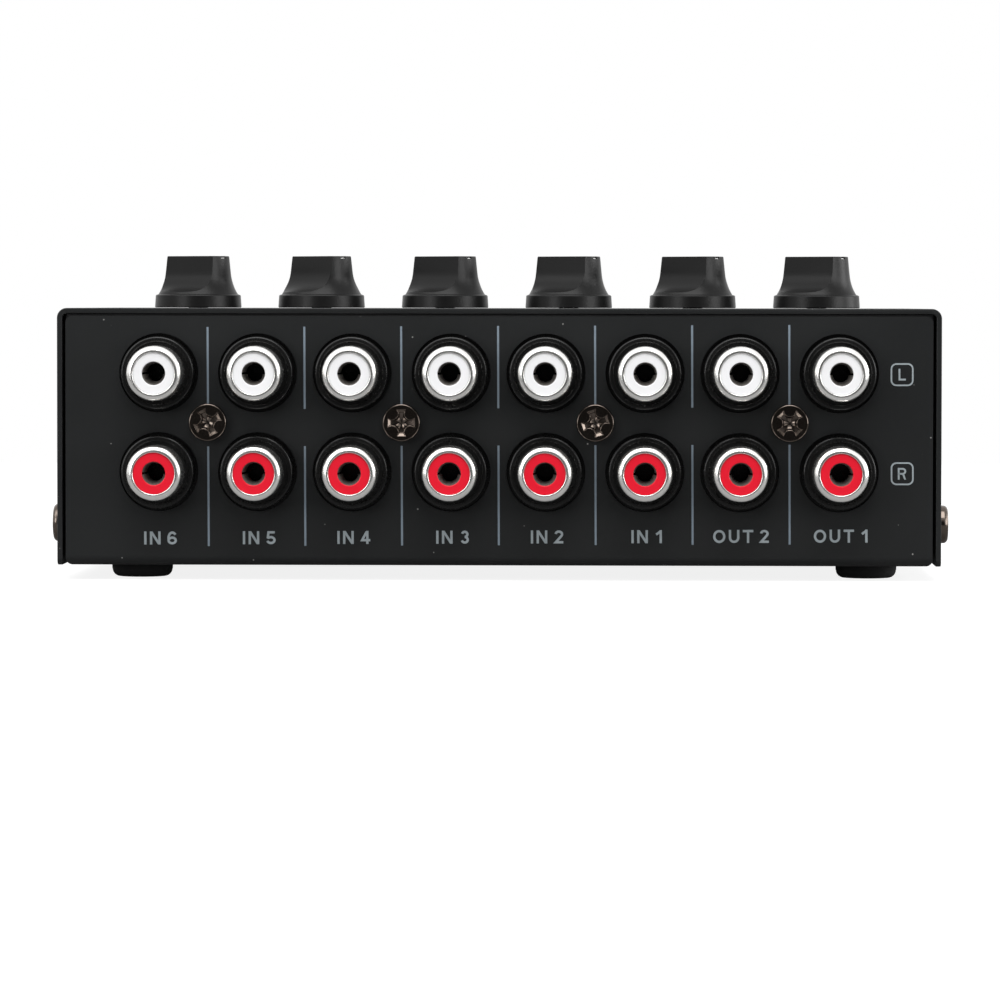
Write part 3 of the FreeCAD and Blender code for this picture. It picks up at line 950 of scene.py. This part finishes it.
# %% A knob, its pointer along +X
SCOOP_FLOOR = 2.4
SCOOP_ROUND = 3.8
BAR_FOOT = 2.4
BAR_CREST = 2.15
PAST_SKIRT = 8.0
PAST_CROWN = 9.0
SLOT_HALF = 0.51
SLOT_DEPTH = 0.4
SLOT_START = 0.59
SLOT_END = 6.0
HOLLOW_RADIUS = 5.6
HOLLOW_TOP = 1.1


def scoop(side):
    """A bar along X with a round inner corner, beside the knob's own bar."""
    middle = (BAR_FOOT + SCOOP_ROUND, SCOOP_FLOOR + SCOOP_ROUND)
    outline = [(BAR_CREST, KNOB_HEIGHT)] + bend(middle, SCOOP_ROUND, 186.5, 270, 16)
    outline += [(PAST_SKIRT, SCOOP_FLOOR), (PAST_SKIRT, PAST_CROWN), (BAR_CREST, PAST_CROWN)]
    bm = bmesh.new()
    face = bm.faces.new([bm.verts.new((-PAST_SKIRT, side * y, z)) for y, z in outline])
    grown = bmesh.ops.extrude_face_region(bm, geom=[face])
    far = [v for v in grown["geom"] if isinstance(v, bmesh.types.BMVert)]
    bmesh.ops.translate(bm, verts=far, vec=(2 * PAST_SKIRT, 0, 0))
    return bm


def underside():
    wall = [(HOLLOW_RADIUS, -1), (HOLLOW_RADIUS, HOLLOW_TOP)]
    return turned([(0, -1)] + wall + [(0, HOLLOW_TOP)], 64)


def mark_slot():
    size = (SLOT_END - SLOT_START, 2 * SLOT_HALF, 2 * SLOT_DEPTH)
    return brick(size, ((SLOT_START + SLOT_END) / 2, 0, KNOB_HEIGHT))


def knob():
    bm = knob_blank()
    for tool in (scoop(-1), scoop(1), underside(), mark_slot()):
        bm = cut(bm, tool)
    soften(bm, 0.08, 2, 38)
    return bm


# %% [markdown]
# Each knob takes its place and its angle from the solids: the middle of the knob's box is
# on the shaft's axis, and the pointer's box lies to the side that the pointer shows. Each
# rides on its own body, so that it turns with its shaft and its line.

# %% Six knobs, each turned as its pointer is
for number in range(1, 7):
    low, high = corners(f"knob_{number}")
    mark_low, mark_high = corners(f"pointer_{number}")
    axis = Vector(((low.x + high.x) / 2, (low.y + high.y) / 2, low.z))
    towards = (mark_low + mark_high) / 2 - axis
    turn = Matrix.Rotation(math.atan2(towards.y, towards.x), 4, "Z")
    shape = copies(knob(), [Matrix.Translation(axis) @ turn])
    body = f"level_{number}"
    finish_piece(f"grip_{number}", shape, "knob_plastic", body, [f"knob_{number}"])

# %% [markdown]
# Print. The panel carries only plain words: the number of each input and output, a framed
# letter for each row, and thin dividing lines. A font would bring its own hairlines and
# hundreds of faces, so a word is drawn as a sign writer would, in strokes of one width.
# Each letter is a width and a list of strokes, and each stroke is a path of points in a
# box one high.

# %% Strokes of the letters, in a box one high
PEN = 0.18
EDGE = PEN / 2


def oval(middle, half_width, half_height, start, stop, steps=18):
    """Points on an ellipse from one angle to another, in degrees."""
    x, z = middle
    arc = bend((0, 0), 1.0, start, stop, steps)
    return [(x + half_width * across, z + half_height * up) for across, up in arc]


LETTERS = {
    " ": (0.0, []),
    "I": (PEN, [[(EDGE, 0), (EDGE, 1)]]),
    "N": (0.82, [[(EDGE, -0.2), (EDGE, 1), (0.73, 0), (0.73, 1.2)]]),
    "O": (0.94, [oval((0.47, 0.5), 0.38, 0.41, 0, 360, 40)]),
    "U": (0.81, [[(EDGE, 1)] + oval((0.405, 0.405), 0.315, 0.315, 180, 360) + [(0.72, 1)]]),
    "T": (0.76, [[(0, 1 - EDGE), (0.80, 1 - EDGE)], [(0.40, 0), (0.40, 1 - EDGE)]]),
    "L": (0.62, [[(EDGE, 1), (EDGE, EDGE), (0.62, EDGE)]]),
    "R": (
        0.76,
        [
            [(EDGE, 0), (EDGE, 1 - EDGE)]
            + oval((0.42, 0.70), 0.22, 0.21, 90, -90)
            + [(EDGE, 0.49)],
            [(0.40, 0.49), (0.50, 0.36), (0.66, -0.1)],
        ],
    ),
    "1": (0.50, [[(0.12, 0.66), (0.42, 0.88)], [(0.46, 0), (0.46, 1)]]),
    "2": (
        0.735,
        [oval((0.365, 0.70), 0.245, 0.21, 172, -35) + [(0.13, EDGE), (0.70, EDGE)]],
    ),
    "3": (
        0.735,
        [
            oval((0.41, 0.715), 0.20, 0.195, 165, -90),
            oval((0.41, 0.30), 0.225, 0.21, 90, -165),
        ],
    ),
    "4": (0.735, [[(0.47, 0.93), (0.12, 0.29), (0.74, 0.29)], [(0.52, 0), (0.52, 1)]]),
    "5": (
        0.735,
        [
            [(0.67, 1 - EDGE), (0.19, 1 - EDGE), (0.14, 0.52)]
            + oval((0.37, 0.315), 0.275, 0.225, 128, -165),
        ],
    ),
    "6": (
        0.735,
        [
            oval((0.37, 0.305), 0.275, 0.215, 0, 360, 30),
            oval((0.385, 0.50), 0.295, 0.41, 38, 205, 20),
        ],
    ),
}
print(len(LETTERS) - 1, "letters and figures")

# %% [markdown]
# A stroke is raised off the paint by two hundredths of a millimetre, and the Solidify
# modifier gives it the width of the pen. Where strokes of a letter cross, their faces would
# lie in one plane and flicker, so each stands a hair higher than the one before. What
# stands out above or below the line of writing is trimmed off, which leaves the N its flat
# corners.

# %% From strokes to a word
INK_THICK = 0.02
HAIR = 0.0007
LETTER_GAP = 0.26


def raised(strokes, size, pen):
    """Each stroke as a low wall, pen wide once Solidify has worked, about y = 0."""
    bm = bmesh.new()
    for order, stroke in enumerate(strokes):
        verts = [bm.verts.new((size * x, 0, size * z)) for x, z in stroke]
        edges = [bm.edges.new(pair) for pair in zip(verts, verts[1:])]
        wall = bmesh.ops.extrude_edge_only(bm, edges=edges)["geom"]
        front = [item for item in wall if isinstance(item, bmesh.types.BMVert)]
        bmesh.ops.translate(bm, verts=front, vec=(0, -INK_THICK - HAIR * order, 0))
    bmesh.ops.remove_doubles(bm, verts=bm.verts, dist=SAME_POINT)
    carrier = as_object("strokes", bm)
    width = carrier.modifiers.new("pen", "SOLIDIFY")
    width.thickness = size * pen
    width.offset = 0
    width.use_even_offset = True
    return applied(carrier)


def trim(bm, height, upwards):
    """Takes away what lies above a height, or below it, and closes the cut."""
    geometry = bm.verts[:] + bm.edges[:] + bm.faces[:]
    plane = {"plane_co": (0, 0, height), "plane_no": (0, 0, upwards)}
    cut_line = bmesh.ops.bisect_plane(bm, geom=geometry, clear_outer=True, **plane)
    rim = [item for item in cut_line["geom_cut"] if isinstance(item, bmesh.types.BMEdge)]
    bmesh.ops.holes_fill(bm, edges=rim, sides=0)


def word(text, size, pen=PEN):
    """A word in a bmesh, its middle at the origin."""
    strokes = []
    across = 0.0
    for letter in text:
        width, lines = LETTERS[letter]
        strokes += [[(across + x, z) for x, z in stroke] for stroke in lines]
        across += width + LETTER_GAP
    across -= LETTER_GAP
    bm = raised(strokes, size, pen)
    trim(bm, size, 1)
    trim(bm, 0, -1)
    bmesh.ops.translate(bm, vec=(-size * across / 2, 0, -size / 2), verts=bm.verts)
    return bm


# %% [markdown]
# The words go under their columns, and a letter in a rounded frame stands beside each row.
# The print was laid on through a screen, and that lay a quarter of a degree askew. So all
# of the print is turned a little, as one layer.

# %% Words under the columns and a framed letter for each row
GREY_INK = ink("grey_ink", (0.25, 0.29, 0.31), (0.33, 0.37, 0.39))
PRINT_MIDDLE = Vector((0, 0, 22.0))
PRINT_TURN = Matrix.Rotation(math.radians(-0.28), 4, "Y")
LABELS = ("IN 6", "IN 5", "IN 4", "IN 3", "IN 2", "IN 1", "OUT 2", "OUT 1")
LABEL_SIZE = 1.98
LABEL_SHIFT = 0.17
LABEL_Z = 6.68
LETTER_SIZE = 1.8
LETTER_PEN = 0.15
LETTER_X = 61.04
FRAME_HALF = 1.61
FRAME_CORNER = 0.75
FRAME_PEN = 0.235


def print_piece(name, bm, finish):
    """A printed layer, turned about the middle of the panel as the screen lay."""
    askew = Matrix.Translation(PRINT_MIDDLE) @ PRINT_TURN @ Matrix.Translation(-PRINT_MIDDLE)
    bmesh.ops.transform(bm, matrix=askew, verts=bm.verts)
    finish_piece(name, bm, "case_paint", finish=finish)


def frame_round(half, corner):
    """A closed path along a square with round corners."""
    flat = half - corner
    middles = ((flat, flat), (-flat, flat), (-flat, -flat), (flat, -flat))
    path = []
    for quarter, middle in enumerate(middles):
        path += bend(middle, corner, 90 * quarter, 90 * quarter + 90, 8)
    return path + path[:1]


words = bmesh.new()
for text, x in zip(LABELS, column_x):
    add(words, word(text, LABEL_SIZE), [Vector((x + LABEL_SHIFT, panel_y, LABEL_Z))])
for text, z in (("L", 31.08), ("R", 16.11)):
    spot = [Vector((LETTER_X, panel_y, z))]
    add(words, word(text, LETTER_SIZE, LETTER_PEN), spot)
    add(words, raised([frame_round(FRAME_HALF, FRAME_CORNER)], 1.0, FRAME_PEN), spot)
print_piece("panel_words", words, GREY_INK)

# %% [markdown]
# A thin blue-grey line parts each column from the next. It leaves the height of the screws
# free, so it is drawn as a lower and an upper stretch. Each could be a stroke like those of
# the letters, but a ruled line is straight with square ends, so a flat box is enough.

# %% Dividing lines between the columns
LINE_INK = ink("line_ink", (0.135, 0.170, 0.210), (0.180, 0.225, 0.265))
LINE_WIDTH = 0.31
STRETCHES = ((5.43, 20.55), (26.2, 38.65))

lines = bmesh.new()
for left, right in zip(column_x, column_x[1:]):
    for bottom, top in STRETCHES:
        middle = ((left + right) / 2, panel_y - INK_THICK / 2, (top + bottom) / 2)
        add(lines, brick((LINE_WIDTH, INK_THICK, top - bottom), middle))
print_piece("panel_lines", lines, LINE_INK)

# %% [markdown]
# The floor. It is a pale sheet that looks white to the camera and still keeps the shadow,
# because only a part of its brightness is its own. To mirrors it shows two greys: a middle
# one near the object, and a dark one further in front. That keeps the lower sides of the
# barrels from looking flat.

# %% White floor
FLOOR_HALF = 0.55
FLOOR_DARK = -0.16
FLOOR_PALE = -0.09
MIDDLE_GREY = (0.30, 0.30, 0.30)
DARK_GREY = (0.04, 0.04, 0.04)
floor_finish = Finish("white_floor", roughness=0.9)
floor_finish.set("Specular IOR Level", 0.0)
floor_finish.set("Emission Color", (1.0, 1.0, 1.0, 1))
camera_ray, mirror_ray = floor_finish.seen()
depth = floor_finish.node("SeparateXYZ", {}, {0: floor_finish.place}, "Y")
near = (depth - FLOOR_DARK) / (FLOOR_PALE - FLOOR_DARK)
in_metal = floor_finish.colour(near, DARK_GREY, MIDDLE_GREY)
floor_colour = floor_finish.blend(mirror_ray, (*MIDDLE_GREY, 1), in_metal)
floor_finish.set("Base Color", floor_colour)
floor_finish.set("Emission Strength", camera_ray * 0.86 + mirror_ray * 0.02)
bm = bmesh.new()
bmesh.ops.create_grid(bm, x_segments=1, y_segments=1, size=FLOOR_HALF)
floor = as_object("floor", bm)
floor.data.materials.append(floor_finish.material)
print("a floor", 2 * FLOOR_HALF, "m wide")

# %% [markdown]
# The world. Black and bright things take their looks from what they reflect. So the case
# stands in a tent of white cloth, with only a gap for the camera, and the gap is what the
# black nickel, the paint and the collars show: without it they would look chalky. The tent
# is the world: white to the camera, bright to reflections from the sides and from behind,
# and dark in the directions about the camera. As a light it is weak, and leaves the
# modelling to the lamps.

# %% World
ROOM_LIGHT = 0.35
CAMERA_GAP = 0.03
TENT = 1.0
world = bpy.data.worlds.new("studio")
bpy.context.scene.world = world
backdrop = Graph(world, "OutputWorld", "Background")
camera_ray, mirror_ray = backdrop.seen()
direction = backdrop.node("TexCoord", output="Generated")
towards_back = backdrop.node("SeparateXYZ", {}, {0: direction}, "Y")
stops = [(0.03, (CAMERA_GAP,) * 3), (0.09, (TENT,) * 3)]
tent = backdrop.node("ValToRGB", {"stops": stops}, {0: towards_back * 0.5 + 0.5})
plain = (1 - camera_ray - mirror_ray) * ROOM_LIGHT
backdrop.set("Color", (1.0, 1.0, 1.0, 1))
backdrop.set("Strength", camera_ray + mirror_ray * tent + plain)
print("a world of", len(backdrop.tree.nodes), "nodes")

# %% [markdown]
# Five soft lamps. The large one high in front does most of the work. One high at the left
# and a small one below it draw the left sides of the barrels and knobs, and two low at the
# right draw a bright streak down each knob's end. They are square area lamps, all aimed at
# the middle of the case: a point lamp would leave hard spots on the nickel.

# %% Lamps: place and size in metres, power in watts
LAMPS = {
    "high_softbox": ((0.05, -0.48, 0.93), 0.8, 9.5),
    "upper_left_softbox": ((-0.62, -0.36, 0.75), 0.6, 3.0),
    "left_strip": ((-0.58, -0.69, 0.22), 0.36, 1.7),
    "right_softbox": ((0.81, -0.40, 0.19), 0.42, 3.2),
    "right_back_softbox": ((0.88, 0.20, 0.20), 0.42, 2.6),
}
CASE_MIDDLE = Vector((0, 0, 0.02))

for name, (place, size, power) in LAMPS.items():
    light = bpy.data.lights.new(name, "AREA")
    light.shape = "SQUARE"
    light.size = size
    light.energy = power
    lamp = bpy.data.objects.new(name, light)
    lamp.location = place
    aim = CASE_MIDDLE - Vector(place)
    lamp.rotation_euler = aim.to_track_quat("-Z", "Y").to_euler()
    bpy.context.scene.collection.objects.link(lamp)
    print(name, "at", round(aim.length, 2), "m")

# %% [markdown]
# The camera stands about 80 cm in front of the panel, level with the top of the case and a
# little to the right, with a long lens. It is aimed by turning it, without any lens shift,
# so the frame's middle falls where the picture's does.

# %% Camera
DISTANCE = 795.0
CAMERA = Vector((19.5, panel_y - DISTANCE, 42.0))
AIM = Vector((0.25, panel_y, 12.3))
TILT = Matrix.Rotation(math.radians(0.07), 3, "Z")
data = bpy.data.cameras.new("camera")
data.lens = 189.1
data.sensor_width = 36.0
data.clip_end = 20.0
camera = bpy.data.objects.new("camera", data)
camera.location = CAMERA * MM
look = (AIM - CAMERA).to_track_quat("-Z", "Y").to_matrix()
camera.rotation_euler = (look @ TILT).to_euler()
bpy.context.scene.collection.objects.link(camera)
bpy.context.scene.camera = camera
bpy.context.scene.view_settings.view_transform = "Standard"
print("the camera looks from", [round(v) for v in CAMERA], "to", [round(v) for v in AIM])
